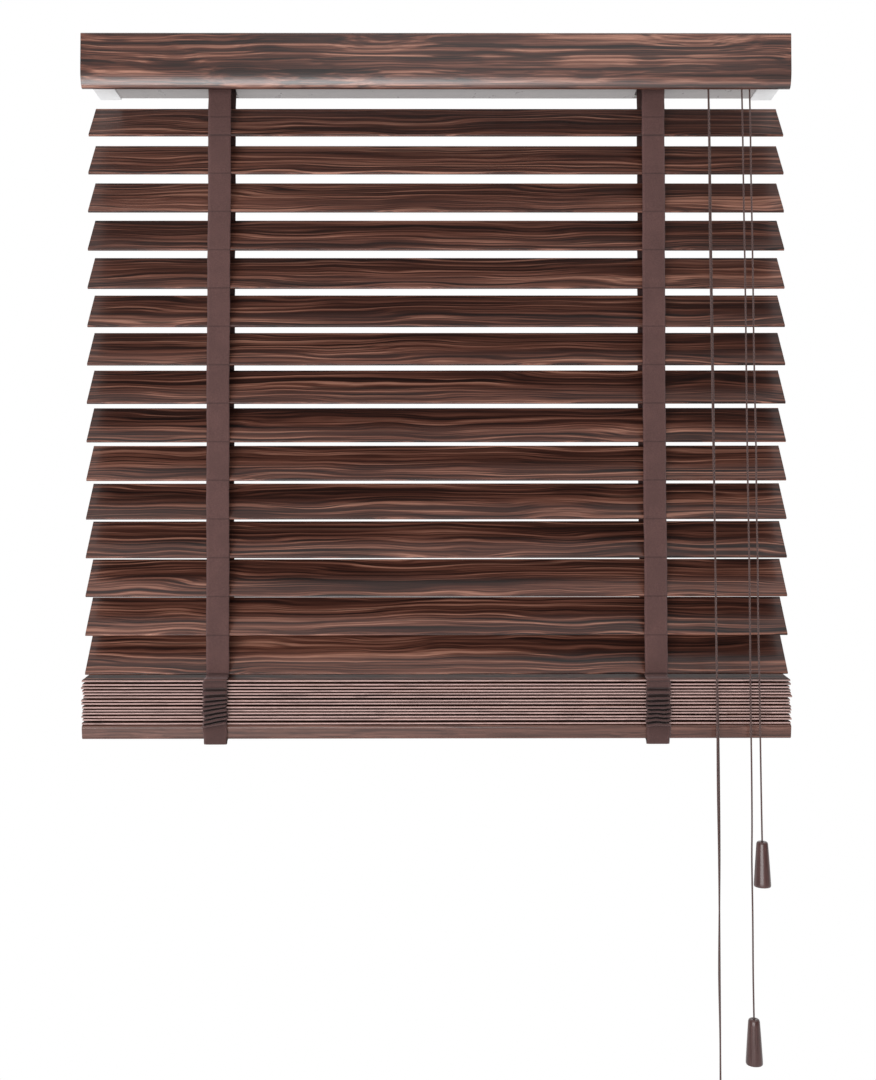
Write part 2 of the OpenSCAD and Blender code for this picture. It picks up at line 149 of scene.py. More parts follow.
studio = {
    "backdrop": 1.0,     # what the camera sees behind the blind
    "behind": 0.85,      # light from behind
    "lowFront": 0.8,     # the pale floor in front
    "highFront": 1.45,   # soft light above the front
    "front": 0.2,
    "top": 0.12,
}
world = bpy.data.worlds.new("studio")
world.use_nodes = True
bpy.context.scene.world = world
sky = Graph(world.node_tree)
direction = sky.add("TexCoord").outputs["Generated"]
axes = sky.add("SeparateXYZ", {0: direction}).outputs
ahead = sky.fit(axes["Y"], 0.25, -0.25)
low = sky.fit(axes["Z"], -0.06, -0.4)
high = sky.math("MULTIPLY", sky.fit(axes["Z"], 0.55, 0.8), sky.fit(axes["Z"], 1.0, 0.93))
frontLight = sky.math("ADD", sky.math("MULTIPLY", low, studio["lowFront"]),
                      sky.math("MULTIPLY", high, studio["highFront"]))
frontLight = sky.math("ADD", frontLight, studio["front"])
topShare = sky.fit(axes["Z"], 0.9, 1.0)
light = sky.add("Mix", {0: ahead, 2: studio["behind"], 3: frontLight}, data_type="FLOAT").outputs[0]
light = sky.add("Mix", {0: topShare, 2: light, 3: studio["top"]}, data_type="FLOAT").outputs[0]
seen = sky.add("LightPath").outputs["Is Camera Ray"]
light = sky.add("Mix", {0: seen, 2: light, 3: studio["backdrop"]}, data_type="FLOAT").outputs[0]
world.node_tree.nodes["Background"].inputs["Color"].default_value = (1, 1, 1, 1)
sky.put(world.node_tree.nodes["Background"].inputs["Strength"], light)


def softLight(name, place, aim, size, power):
    lamp = bpy.data.lights.new(name, "AREA")
    lamp.shape = "RECTANGLE"
    lamp.size, lamp.size_y = size
    lamp.energy = power
    holder = bpy.data.objects.new(name, lamp)
    holder.location = place
    holder.rotation_euler = (Vector(aim) - Vector(place)).to_track_quat("-Z", "Y").to_euler()
    bpy.context.collection.objects.link(holder)


# seen in the valance's rolled edge, the stack's edges and the bottom rail
softLight("frontBox", (-0.6, -2.2, -0.75), (0, 0, -0.4), (1.9, 1.2), 42)
softLight("highBox", (0.3, -2.4, 0.9), (0, 0, -0.5), (1.6, 1.2), 3)
print("camera and light made")


# free cords: the same routes as in part.scad, in metres

def route(*points):
    return [Vector(point) / 1000 for point in points]


cordWays = {
    "pullLeft": route(
        (335, -27, -47.5), (335, -27.5, -60), (335.5, -28, -110), (336, -28, -180),
        (336.5, -29, -250), (337, -29, -320), (337, -30, -400), (337.5, -30, -480),
        (338, -31, -560), (338.5, -31, -640), (338.5, -31, -720), (339, -31, -800),
        (339, -31, -860), (338.5, -31, -900), (339, -31, -960), (339, -31, -1020),
        (339.5, -31, -1068)),
    "pullRight": route(
        (343.5, -27, -47.5), (343.5, -27.5, -60), (344, -28, -110), (344, -29, -160),
        (344.5, -30, -220), (345, -30, -280), (345, -31, -340), (345.5, -32, -400),
        (346, -33, -460), (346, -33, -520), (346.5, -34, -580), (346.5, -34, -640),
        (347, -35, -700), (347.5, -35, -760), (348, -35, -820), (348.5, -35.5, -878)),
    "tiltFront": route(
        (298, -27.2, -47.5), (298, -28, -60), (298, -29, -80), (298, -30, -120),
        (298, -30, -190), (298.5, -30, -260), (299, -31, -330), (299.5, -31, -400),
        (300, -32, -470), (301, -32, -540), (301, -33, -610), (301.5, -33, -680),
        (301.5, -34, -750), (301.5, -34, -820), (302, -35, -890), (302, -36, -950),
        (301.5, -38, -1020), (301, -40, -1085), (300.5, -41, -1138)),
    "tiltBack": route(
        (299, -23.8, -47.5), (299, -25, -58), (299, -26.5, -75), (299.5, -27.5, -120),
        (300, -27.5, -190), (300.5, -27.5, -260), (301, -28, -330), (301.5, -28, -400),
        (301.5, -29, -470), (301.5, -29, -540), (302, -30, -610), (302.5, -30, -680),
        (303.5, -31, -750), (304, -31, -820), (304, -31, -890), (303.5, -30, -950),
        (303, -28, -1020), (304.5, -25, -1085), (305.5, -22, -1150)),
}


def smoothRoute(points, steps):
    path = []
    last = len(points) - 1
    for i in range(last):
        p0, p1, p2, p3 = points[max(i - 1, 0)], points[i], points[i + 1], points[min(i + 2, last)]
        for s in range(steps):
            t = s / steps
            path.append(0.5 * (2 * p1 + (p2 - p0) * t + (2 * p0 - 5 * p1 + 4 * p2 - p3) * t * t
                               + (3 * p1 - p0 - 3 * p2 + p3) * t ** 3))
    return path + [points[-1]]


def runLength(path):
    return sum((b - a).length for a, b in zip(path, path[1:]))


# Geometry is kept as (points, faces, one texture place for each point) until it becomes a piece.

def tube(path, radius, sides=12, closed=False):
    points, faces, places = [], [], []
    count = len(path)
    side = None
    run = 0
    for i in range(count):
        before = path[i - 1] if closed or i else path[0]
        after = path[(i + 1) % count] if closed or i < count - 1 else path[-1]
        ahead = (after - before).normalized()
        if side is None:
            side = ahead.orthogonal().normalized()
        side = (side - ahead * side.dot(ahead)).normalized()
        up = ahead.cross(side)
        if i:
            run += (path[i] - path[i - 1]).length
        for s in range(sides + 1):
            turn = 2 * math.pi * s / sides
            points.append(path[i] + radius * (math.cos(turn) * side + math.sin(turn) * up))
            places.append((s / sides, run / (2 * math.pi * radius)))
    wide = sides + 1
    for i in range(count if closed else count - 1):
        for s in range(sides):
            a, b = i * wide + s, ((i + 1) % count) * wide + s
            faces.append((a, a + 1, b + 1, b))
    if not closed:
        faces.append(tuple(range(sides))[::-1])
        faces.append(tuple((count - 1) * wide + s for s in range(sides)))
    return points, faces, places


def lathe(profile, centre, sides=40):
    # profile is (radius, height) from one end of the outline to the other
    points, faces, places = [], [], []
    run = 0
    for i, (radius, height) in enumerate(profile):
        if i:
            run += math.dist(profile[i - 1], profile[i])
        for s in range(sides + 1):
            turn = 2 * math.pi * s / sides
            points.append(centre + Vector((radius * math.cos(turn), radius * math.sin(turn), height)))
            places.append((s / sides, run * 20))
    wide = sides + 1
    for i in range(len(profile) - 1):
        for s in range(sides):
            a, b = i * wide + s, (i + 1) * wide + s
            faces.append((a, a + 1, b + 1, b))
    return points, faces, places


def strip(path, width, thick, columns=8, lean=None, narrow=None):
    # A woven strip whose width runs along X. lean(i, across) shifts a point, narrow(i) scales the width.
    points, faces, places = [], [], []
    count = len(path)
    run = 0
    for i in range(count):
        ahead = (path[min(i + 1, count - 1)] - path[max(i - 1, 0)]).normalized()
        out = Vector((1, 0, 0)).cross(ahead).normalized()
        if i:
            run += (path[i] - path[i - 1]).length
        for face in (1, -1):
            for c in range(columns + 1):
                across = (c / columns * 2 - 1) * face
                full = math.sqrt(max(0.0, 1 - abs(across) ** 10)) * 0.65 + 0.35  # thinner at the edges
                reach = across * width / 2 * (narrow(i) if narrow else 1)
                point = path[i] + Vector((reach, 0, 0)) + out * (face * thick / 2 * full)
                points.append(point + (lean(i, across) if lean else Vector()))
                places.append((across * width / 2, run))
    wide = 2 * (columns + 1)
    for i in range(count - 1):
        for s in range(wide):
            a, b = i * wide + s, i * wide + (s + 1) % wide
            faces.append((a, b, b + wide, a + wide))
    faces.append(tuple(range(wide))[::-1])
    faces.append(tuple((count - 1) * wide + s for s in range(wide)))
    return points, faces, places


def makePiece(name, parts, material, body=None, stands=()):
    points, faces, places = [], [], []
    for partPoints, partFaces, partPlaces in parts:
        first = len(points)
        points += partPoints
        places += partPlaces
        faces += [tuple(first + corner for corner in face) for face in partFaces]
    mesh = bpy.data.meshes.new(name)
    mesh.from_pydata(points, [], faces)
    layer = mesh.uv_layers.new(name="run")
    for loop in mesh.loops:
        layer.data[loop.index].uv = places[loop.vertex_index]
    mesh.materials.append(material)
    mesh.shade_smooth()
    mesh.update()
    piece = bpy.data.objects.new(name, mesh)
    bpy.context.collection.objects.link(piece)
    if stands:
        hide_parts(*stands)
    if body:
        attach(piece, body)
    return piece


# materials

def newMaterial(name, rough, **constants):
    material = bpy.data.materials.new(name)
    material.use_nodes = True
    graph = Graph(material.node_tree)
    shader = material.node_tree.nodes["Principled BSDF"]
    shader.inputs["Roughness"].default_value = rough
    for key, value in constants.items():
        shader.inputs[key.replace("_", " ")].default_value = value
    return material, graph, shader


def woodMaterial(name, look):
    # lacquered foil with long wavy streaks along X
    material, graph, shader = newMaterial(name, look["rough"], Coat_Weight=look["coat"],
                                          Coat_Roughness=look["haze"], Specular_IOR_Level=look["gloss"])
    place = graph.stretch(graph.add("TexCoord").outputs["Object"], (1, 1, 1), look["shift"])
    wave = graph.noise(graph.stretch(place, (7, 26, 26)), 1.0, 1.0)
    ripple = graph.noise(graph.stretch(place, (30, 90, 90)), 1.0, 1.0)
    bend = graph.math("ADD", graph.math("MULTIPLY", wave, look["wave"]),
                      graph.math("MULTIPLY", ripple, look["ripple"]))
    offset = graph.add("CombineXYZ", {1: bend, 2: bend}).outputs[0]
    bent = graph.add("VectorMath", {0: place, 1: offset}, operation="ADD").outputs[0]
    across = look["streaks"]
    streak = graph.noise(graph.stretch(bent, (2.2, across, across)), 1.0, 2.5, 0.55)
    line = graph.noise(graph.stretch(bent, (5, across * 2.7, across * 2.7)), 1.0, 1.0, 0.5)
    fibre = graph.noise(graph.stretch(bent, (28, across * 9, across * 9)), 1.0, 2.0, 0.6)
    tone = graph.noise(graph.stretch(place, (2.5, 22, 22)), 1.0, 1.0)
    figure = graph.math("ADD", graph.math("MULTIPLY", streak, 0.72), graph.math("MULTIPLY", line, 0.28))
    figure = graph.math("ADD", figure, graph.math("MULTIPLY", graph.math("SUBTRACT", tone, 0.5), 0.16))
    colour = graph.ramp(figure, look["stops"])
    vein = graph.noise(graph.stretch(bent, (3, across * 1.5, across * 1.5), (0.7, 0.3, 0.9)), 1.0, 2.0, 0.5)
    grain = graph.math("MULTIPLY", graph.fit(fibre, 0.35, 0.62, 0.8, 1.12),
                       graph.fit(vein, 0.37, 0.46, look["vein"], 1.0))
    shade = graph.add("CombineColor", {0: grain, 1: grain, 2: grain}).outputs[0]
    colour = graph.mix(1.0, colour, shade, "MULTIPLY")
    # painted highlight: surfaces facing front or back, the stacked slats' long edges, get the pale edge
    # colour
    if "edge" in look:
        side = graph.add("SeparateXYZ", {0: graph.add("TexCoord").outputs["Normal"]}).outputs["Y"]
        edge = graph.mix(1.0, (*look["edge"], 1), shade, "MULTIPLY")
        colour = graph.mix(graph.fit(graph.math("ABSOLUTE", side), 0.35, 0.75), colour, edge)
    graph.put(shader.inputs["Base Color"], colour)
    graph.put(shader.inputs["Roughness"],
              graph.fit(fibre, 0.2, 0.8, look["rough"] + 0.06, look["rough"] - 0.05))
    height = graph.math("ADD", graph.math("MULTIPLY", fibre, 0.6), graph.math("MULTIPLY", figure, 0.4))
    graph.put(shader.inputs["Normal"], graph.bump(height, 0.25, 0.0002))
    return material


woodLook = {
    "rough": 0.36, "coat": 0.1, "haze": 0.16, "gloss": 0.32, "shift": (3.1, 1.7, 0.4), "wave": 0.018,
    "ripple": 0.0011, "streaks": 290, "vein": 0.32,
    "stops": [(0.36, (0.018, 0.0055, 0.0038)), (0.47, (0.052, 0.0165, 0.0105)), (0.56, (0.14, 0.052, 0.034)),
              (0.66, (0.34, 0.16, 0.11))],
}
slatWood = woodMaterial("slatWood", woodLook)
valanceWood = woodMaterial("valanceWood", woodLook | {
    "wave": 0.02, "ripple": 0.0012, "streaks": 210, "coat": 1.0, "haze": 0.27, "gloss": 0.4})
railWood = woodMaterial("railWood", woodLook | {
    "shift": (1.3, 0.2, 2.4), "vein": 0.75, "coat": 0.3,
    "stops": [(0.34, (0.05, 0.02, 0.014)), (0.5, (0.11, 0.046, 0.033)), (0.66, (0.18, 0.085, 0.064))]})
# the stacked slats are dark on their faces; their long edges get a pale painted highlight
stackWood = woodMaterial("stackWood", woodLook | {
    "shift": (0.3, 2.2, 1.4), "coat": 0.0, "gloss": 0.15, "rough": 0.5, "vein": 0.7,
    "edge": (0.46, 0.31, 0.285)})


def clothMaterial(name, look):
    # ribbed tape: texture places are metres across and along
    material, graph, shader = newMaterial(name, 0.82, Sheen_Weight=0.35, Sheen_Roughness=0.45,
                                          Specular_IOR_Level=0.3)
    places = graph.add("SeparateXYZ", {0: graph.add("UVMap", uv_map="run").outputs[0]}).outputs
    rib = graph.ridges(places[0], look["rib"])
    pick = graph.ridges(places[1], look["pick"])
    offset = graph.math("FRACT", graph.math("DIVIDE", places[1], look["rung"]))
    stitch = graph.math("MULTIPLY", graph.fit(offset, 0.0, 0.012), graph.fit(offset, 0.05, 0.038))
    border = graph.fit(graph.math("ABSOLUTE", places[0]), 0.0098, 0.0106)
    fluff = graph.noise(graph.add("TexCoord").outputs["Object"], 900.0, 3.0, 0.6)
    patch = graph.noise(graph.add("TexCoord").outputs["Object"], 40.0, 2.0)
    colour = graph.ramp(rib, [(0.0, look["dark"]), (0.75, look["mid"]), (1.0, look["light"])])
    # painted shade: ambient occlusion darkens the cloth's colour in creases, folds and between parts
    creaseShadeAO = graph.add("AmbientOcclusion", {"Distance": look["paintedShadeReach"]}, samples=8).outputs["AO"]
    tint = graph.fit(fluff, 0.25, 0.75, 0.8, 1.15)
    for share in (graph.fit(patch, 0.3, 0.7, 0.92, 1.06), graph.fit(stitch, 0, 1, 1.0, 0.72),
                  graph.fit(border, 0, 1, 1.0, 1.16), graph.fit(creaseShadeAO, 0.2, 0.95, look["paintedCreaseShade"], 1.0)):
        tint = graph.math("MULTIPLY", tint, share)
    shade = graph.add("CombineColor", {0: tint, 1: tint, 2: tint}).outputs[0]
    graph.put(shader.inputs["Base Color"], graph.mix(1.0, colour, shade, "MULTIPLY"))
    weave = graph.math("ADD", graph.math("MULTIPLY", rib, 0.7), graph.math("MULTIPLY", pick, 0.3))
    weave = graph.math("SUBTRACT", weave, graph.math("MULTIPLY", stitch, 0.6))
    graph.put(shader.inputs["Normal"], graph.bump(weave, 0.6, 0.00035))
    shader.inputs["Sheen Tint"].default_value = (0.75, 0.6, 0.6, 1)
    return material


tapeLook = {
    "rib": 0.0011, "pick": 0.0007, "rung": blind["pitch"],
    # painted shade in creases: how dark it gets and how far the occlusion reaches
    "paintedCreaseShade": 0.3,             # how dark a deep crease gets
    "paintedShadeReach": 0.006,
    "dark": (0.046, 0.02, 0.018), "mid": (0.088, 0.042, 0.038), "light": (0.12, 0.06, 0.055),
}
tapeCloth = clothMaterial("tapeCloth", tapeLook)
# painted shade: the folds and the back strips get darker copies of the tape's colours, as they hang in shade
shadeLook = tapeLook | {"paintedCreaseShade": 0.06, "dark": (0.03, 0.013, 0.012), "mid": (0.066, 0.032, 0.029),
                        "light": (0.095, 0.048, 0.044)}
foldShadeCloth = clothMaterial("foldShadeCloth", shadeLook)
backShadeLook = tapeLook | {"dark": (0.018, 0.006, 0.005), "mid": (0.04, 0.017, 0.015),
                       "light": (0.06, 0.028, 0.025)}
backShadeCloth = clothMaterial("backShadeCloth", backShadeLook)


def cordMaterial(name, look):
    # braid of crossing strands: texture places are turns round and circumferences along
    material, graph, shader = newMaterial(name, 0.62, Sheen_Weight=0.25, Specular_IOR_Level=0.4)
    places = graph.add("SeparateXYZ", {0: graph.add("UVMap", uv_map="run").outputs[0]}).outputs
    around = graph.math("MULTIPLY", places[0], look["strands"])
    along = graph.math("MULTIPLY", places[1], look["twist"])
    first = graph.math("SINE", graph.math("MULTIPLY", graph.math("ADD", around, along), 2 * math.pi))
    second = graph.math("SINE", graph.math("MULTIPLY", graph.math("SUBTRACT", around, along), 2 * math.pi))
    weave = graph.fit(graph.math("MAXIMUM", first, second), -0.4, 1.0)
    fluff = graph.noise(graph.add("TexCoord").outputs["Object"], 1500.0, 2.0, 0.6)
    colour = graph.ramp(weave, [(0.0, look["dark"]), (0.6, look["mid"]), (1.0, look["light"])])
    tint = graph.fit(fluff, 0.3, 0.7, 0.85, 1.15)
    shade = graph.add("CombineColor", {0: tint, 1: tint, 2: tint}).outputs[0]
    graph.put(shader.inputs["Base Color"], graph.mix(1.0, colour, shade, "MULTIPLY"))
    graph.put(shader.inputs["Normal"], graph.bump(weave, 0.7, 0.0002))
    return material


cordLook = {"strands": 4, "twist": 1.1,
            "dark": (0.012, 0.005, 0.004), "mid": (0.05, 0.021, 0.017), "light": (0.11, 0.05, 0.042)}
cordCloth = cordMaterial("cordCloth", cordLook)


def plainMaterial(name, look):
    # paint, plastic or metal with a faint unevenness
    material, graph, shader = newMaterial(name, look["rough"], **look.get("constants", {}))
    place = graph.add("TexCoord").outputs["Object"]
    patch = graph.noise(graph.stretch(place, look.get("grain", (1, 1, 1))), look.get("size", 60), 3.0, 0.55)
    peel = graph.noise(place, look.get("peel", 900), 1.0)
    graph.put(shader.inputs["Base Color"], graph.ramp(patch, [(0.3, look["dark"]), (0.7, look["light"])]))
    graph.put(shader.inputs["Roughness"],
              graph.fit(patch, 0.3, 0.7, look["rough"] - 0.05, look["rough"] + 0.07))
    graph.put(shader.inputs["Normal"], graph.bump(peel, look.get("bump", 0.08), 0.0001))
    return material


whitePaint = plainMaterial("whitePaint", {
    "rough": 0.32, "dark": (0.29, 0.265, 0.262), "light": (0.34, 0.31, 0.307),
    "constants": {"Coat_Weight": 0.3}})
bracketPaint = plainMaterial("bracketPaint", {
    "rough": 0.35, "dark": (0.78, 0.78, 0.79), "light": (0.86, 0.86, 0.87)})
whiteNylon = plainMaterial("whiteNylon", {
    "rough": 0.42, "dark": (0.74, 0.74, 0.72), "light": (0.82, 0.82, 0.8),
    "constants": {"Subsurface_Weight": 0.1, "Subsurface_Scale": 0.002}})
clearNylon = plainMaterial("clearNylon", {
    "rough": 0.2, "dark": (0.62, 0.72, 0.8), "light": (0.72, 0.8, 0.86),
    "constants": {"Transmission_Weight": 0.45, "IOR": 1.46}})
clipPlastic = plainMaterial("clipPlastic", {
    "rough": 0.18, "dark": (0.85, 0.87, 0.88), "light": (0.92, 0.93, 0.94),
    "constants": {"Transmission_Weight": 0.85, "IOR": 1.49}})
brightSteel = plainMaterial("brightSteel", {
    "rough": 0.3, "dark": (0.5, 0.5, 0.51), "light": (0.64, 0.64, 0.65),
    "grain": (1, 30, 30), "size": 20, "constants": {"Metallic": 1.0}})
wheelBrass = plainMaterial("wheelBrass", {
    "rough": 0.28, "dark": (0.6, 0.42, 0.18), "light": (0.76, 0.56, 0.28),
    "constants": {"Metallic": 1.0}})
darkPlastic = plainMaterial("darkPlastic", {
    "rough": 0.45, "dark": (0.03, 0.016, 0.014), "light": (0.05, 0.026, 0.022)})
tasselPaint = plainMaterial("tasselPaint", {
    "rough": 0.3, "dark": (0.04, 0.014, 0.012), "light": (0.085, 0.036, 0.032),
    "grain": (1, 1, 0.05), "size": 420, "constants": {"Coat_Weight": 0.3}})
innerCord = plainMaterial("innerCord", {
    "rough": 0.7, "dark": (0.03, 0.012, 0.01), "light": (0.12, 0.05, 0.04), "size": 700, "bump": 0.5})

finish = {
    "headrail": whitePaint, "box_brackets": bracketPaint, "bracket_gates": bracketPaint,
    "valance": valanceWood, "valance_clips": clipPlastic, "ladder_cradles": whiteNylon,
    "tilt_rod": brightSteel, "tilt_drums": whiteNylon, "tilter_housing": clearNylon,
    "tilter_gear": whiteNylon, "tilter_worm": whiteNylon, "cord_lock_housing": whiteNylon,
    "cord_lock_wheel": wheelBrass, "cord_lock_pin": brightSteel, "headrail_cords": innerCord,
    "bottom_rail": railWood, "rail_plugs": darkPlastic,
}
for number in range(1, blind["hanging"] + 1):
    finish[f"slat_{number:02d}"] = slatWood
for name, material in finish.items():
    mesh = nodes[name].data
    mesh.materials.clear()
    mesh.materials.append(material)
print("materials made")


# free cords and their tassels

tassel = {"high": 0.048, "top": 0.0061, "foot": 0.009, "bore": 0.0064, "boreHigh": 0.026, "hole": 0.0014}
cordSize = {"thick": 0.0018, "knot": 0.00085, "insideShare": 0.95}


def tasselShape(top):
    high = tassel["high"]
    swell = [(tassel["top"] + (tassel["foot"] - tassel["top"]) * t ** 0.9, high * (0.955 - 0.895 * t))
             for t in (i / 10 for i in range(11))]
    profile = [(tassel["hole"], high - tassel["boreHigh"] * 0.2), (tassel["hole"], high - 0.0006),
               (tassel["hole"] + 0.0005, high), (tassel["top"] - 0.0016, high),
               (tassel["top"] - 0.0005, high - 0.0008)]
    profile += swell
    profile += [(tassel["foot"], 0.0012), (tassel["foot"] - 0.0004, 0.0003), (tassel["foot"] - 0.0012, 0),
                (tassel["bore"] + 0.0006, 0.0005), (tassel["bore"], 0.003), (tassel["bore"] - 0.0012, 0.014),
                (0.0034, tassel["boreHigh"]), (tassel["hole"], tassel["boreHigh"] + 0.001),
                (tassel["hole"], high - tassel["boreHigh"] * 0.2)]
    return lathe(profile, top - Vector((0, 0, high)))


def knotShape(top):
    # the cord's last bit inside the tassel, ending in an overhand knot
    depth = tassel["high"] - tassel["boreHigh"]
    middle = top - Vector((0, 0, depth + 0.004))
    radius = cordSize["thick"] / 2 * cordSize["insideShare"]
    loop = []
    for i in range(48):
        t = 2 * math.pi * i / 48
        loop.append(middle + cordSize["knot"] * Vector((math.sin(t) + 2 * math.sin(2 * t),
                                                        math.cos(t) - 2 * math.cos(2 * t),
                                                        -1.6 * math.sin(3 * t))))
    inside = [top - Vector((0, 0, depth * i / 6)) for i in range(7)]
    return [tube(inside, radius, 10), tube(loop, radius, 10, closed=True)]


cords = [
    ("pullLeft", "pull_cords", "pull_cord_left", "pull_tassel_left"),
    ("pullRight", "pull_cords", "pull_cord_right", "pull_tassel_right"),
    ("tiltFront", "tilt_cord_front", "tilt_cord_front", "tilt_tassel_front"),
    ("tiltBack", "tilt_cord_back", "tilt_cord_back", "tilt_tassel_back"),
]
for key, body, cordNode, tasselNode in cords:
    way = cordWays[key]
    path = smoothRoute(way, 10)
    cord = makePiece(key + "Cord", [tube(path, cordSize["thick"] / 2)], cordCloth,
                     stands=[cordNode])
    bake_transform(cord)
    wood = makePiece(key + "Tassel", [tasselShape(way[-1])], tasselPaint, body,
                     [tasselNode])
    knot = makePiece(key + "Knot", knotShape(way[-1]), cordCloth, body)
    print(key, "cord is", round(runLength(path), 4), "m long")


# ladder tapes

tape = {
    "wide": 0.025, "thick": 0.0008, "out": 0.01568, "frontTop": -0.0431, "backTop": -0.0021,
    "hem": 0.001,              # how far it reaches past the lowest slat's edge
    "bulge": 0.00022,          # out between the rungs
    "sway": 0.00035, "flutter": 0.00018, "cup": 0.00016, "twist": 0.00012,
    "step": 0.0025,
}


def tapeShape(x, side, top, bottom, seed):
    # side is -1 for the front and 1 for the back
    chance = random.Random(seed)
    phases = [chance.uniform(0, 2 * math.pi) for _ in range(4)]
    rows = max(2, round((top - bottom) / tape["step"]))
    path = []
    for i in range(rows + 1):
        z = top + (bottom - top) * i / rows
        turn = 2 * math.pi * (z - blind["firstSlat"] - side * edgeDrop) / blind["pitch"]
        bulge = tape["bulge"] * (1 - math.cos(turn))
        sway = tape["sway"] * math.sin(z * 11 + phases[0]) + tape["flutter"] * math.sin(z * 47 + phases[1])
        path.append(Vector((x + sway, side * (tape["out"] + bulge), z)))

    def lean(i, across):
        z = path[i].z
        cup = tape["cup"] * across * across * math.sin(z * 60 + phases[2])
        return Vector((tape["twist"] * math.sin(z * 260 + phases[3]) * across, side * abs(cup), 0))

    return strip(path, tape["wide"], tape["thick"], 8, lean), runLength(path)


for side, where, body in ((-1, "front", "front_tapes"), (1, "back", "back_tapes")):
    edge = blind["firstSlat"] + side * edgeDrop
    bottom = slatHeight(blind["hanging"]) + side * edgeDrop - tape["hem"]
    top = tape[where + "Top"]
    for x, hand in ((-blind["ladder"], "Left"), (blind["ladder"], "Right")):
        upperShape, upperLong = tapeShape(x, side, top, edge, 11)
        lowerShape, lowerLong = tapeShape(x, side, edge, bottom, 11)
        # painted shade: the back tapes take the darker cloth
        cloth = tapeCloth if side < 0 else backShadeCloth
        upper = makePiece(where + "TapeTop" + hand, [upperShape], cloth, body)
        lower = makePiece(where + "Tape" + hand, [lowerShape], cloth, body,
                          [body] if hand == "Left" else ())
        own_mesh(lower)
print("tapes made")


# rungs under each slat, two to a ladder

rung = {"wide": 0.004, "thick": 0.0003, "apart": 0.0068, "under": 0.0017, "front": -0.0285, "back": 0.0235,
        "sag": 0.0001, "steps": 12}
along = Vector((0, math.cos(blind["slope"]), math.sin(blind["slope"])))
out = Vector((0, -math.sin(blind["slope"]), math.cos(blind["slope"])))
for number in range(1, blind["hanging"] + 1):
    parts = []
    middle = Vector((0, 0, slatHeight(number)))
    for x in (-blind["ladder"], blind["ladder"]):
        for side in (-1, 1):
            path = []
            shift = Vector((x + side * rung["apart"], 0, 0))
            for i in range(rung["steps"] + 1):
                share = i / rung["steps"]
                reach = rung["front"] + (rung["back"] - rung["front"]) * share
                under = rung["under"] + rung["sag"] * math.sin(math.pi * share)
                path.append(middle + along * reach - out * under + shift)
            parts.append(strip(path, rung["wide"], rung["thick"], 4))
    makePiece(f"rungs{number:02d}", parts, tapeCloth, f"slat_{number:02d}")


# lift cords through the slats

lift = {"steps": 60, "endSteps": 10, "aboveRailFoot": 0.003}


def liftWays(top, bottom, steps):
    # one straight run at each ladder
    return [[Vector((x, 0, top + (bottom - top) * i / steps)) for i in range(steps + 1)]
            for x in (-blind["ladder"], blind["ladder"])]


firstZ = slatHeight(1)
lastZ = slatHeight(blind["hanging"])
railZ = blind["rail"] - blind["railThick"] / 2 + lift["aboveRailFoot"]
liftNodes = [f"lift_cord_{number:02d}" for number in range(2, blind["hanging"] + 1)]
upperTubes = [tube(way, cordSize["thick"] / 2) for way in liftWays(firstZ, lastZ, lift["steps"])]
liftCords = makePiece("liftCords", upperTubes, cordCloth, "headrail_unit", liftNodes)
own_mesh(liftCords)
lowerTubes = [tube(way, cordSize["thick"] / 2) for way in liftWays(lastZ, railZ, lift["endSteps"])]
makePiece("liftCordEnds", lowerTubes, cordCloth, "rail_carrier", ["lift_cord_16"])
print("rungs and lift cords made")


# stacked slats: slightly thinner copies of the first slat, each lying a little differently, with dark gaps

spare = {
    "count": 14,
    "thin": 0.72,              # share of a slat's thickness
    "endShift": 0.0014, "edgeShift": 0.0005, "gapShift": 0.00045, "tip": 0.002,
}
chance = random.Random(7)
backToLevel = Matrix.Rotation(-blind["slope"], 4, "X") @ Matrix.Translation((0, 0, -blind["firstSlat"]))
for i in range(spare["count"]):
    endShift = spare["endShift"] * chance.uniform(-1, 1)
    edgeShift = chance.uniform(-spare["edgeShift"], spare["edgeShift"])
    gapShift = chance.uniform(-spare["gapShift"], spare["gapShift"])
    height = blind["stackTop"] - i * blind["stackPitch"] + gapShift
    lay = Matrix.Translation((endShift, edgeShift, height))
    lay = lay @ Matrix.Rotation(blind["stackLean"] + chance.uniform(-spare["tip"], spare["tip"]), 4, "X")
    mesh = nodes["slat_01"].data.copy()
    mesh.name = f"stackedSlat{i + 1:02d}"
    mesh.transform(lay @ Matrix.Diagonal((1, 1, spare["thin"], 1)) @ backToLevel)
    mesh.materials.clear()
    mesh.materials.append(stackWood)
    board = bpy.data.objects.new(mesh.name, mesh)
    bpy.context.collection.objects.link(board)
    if i == 0:
        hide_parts("stacked_slats")
    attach(board, "stack")
print("stack made")


# slack tape folded over the front and back of the stack

bunch = {
    "out": 0.0296, "top": -0.7068, "bottom": -0.7600, "wide": 0.0262,
    "band": 0.0085, "bandBulge": 0.003,
    "bigFold": 0.0075, "fold": 0.0048, "small": 7,
    "deep": 0.0029,            # how far a fold stands out and in
    "droop": 0.42,             # how far a fold hangs over the next one
    "skew": 0.0009, "pinch": 0.04, "tuck": 0.06,
    "steps": 10,
}


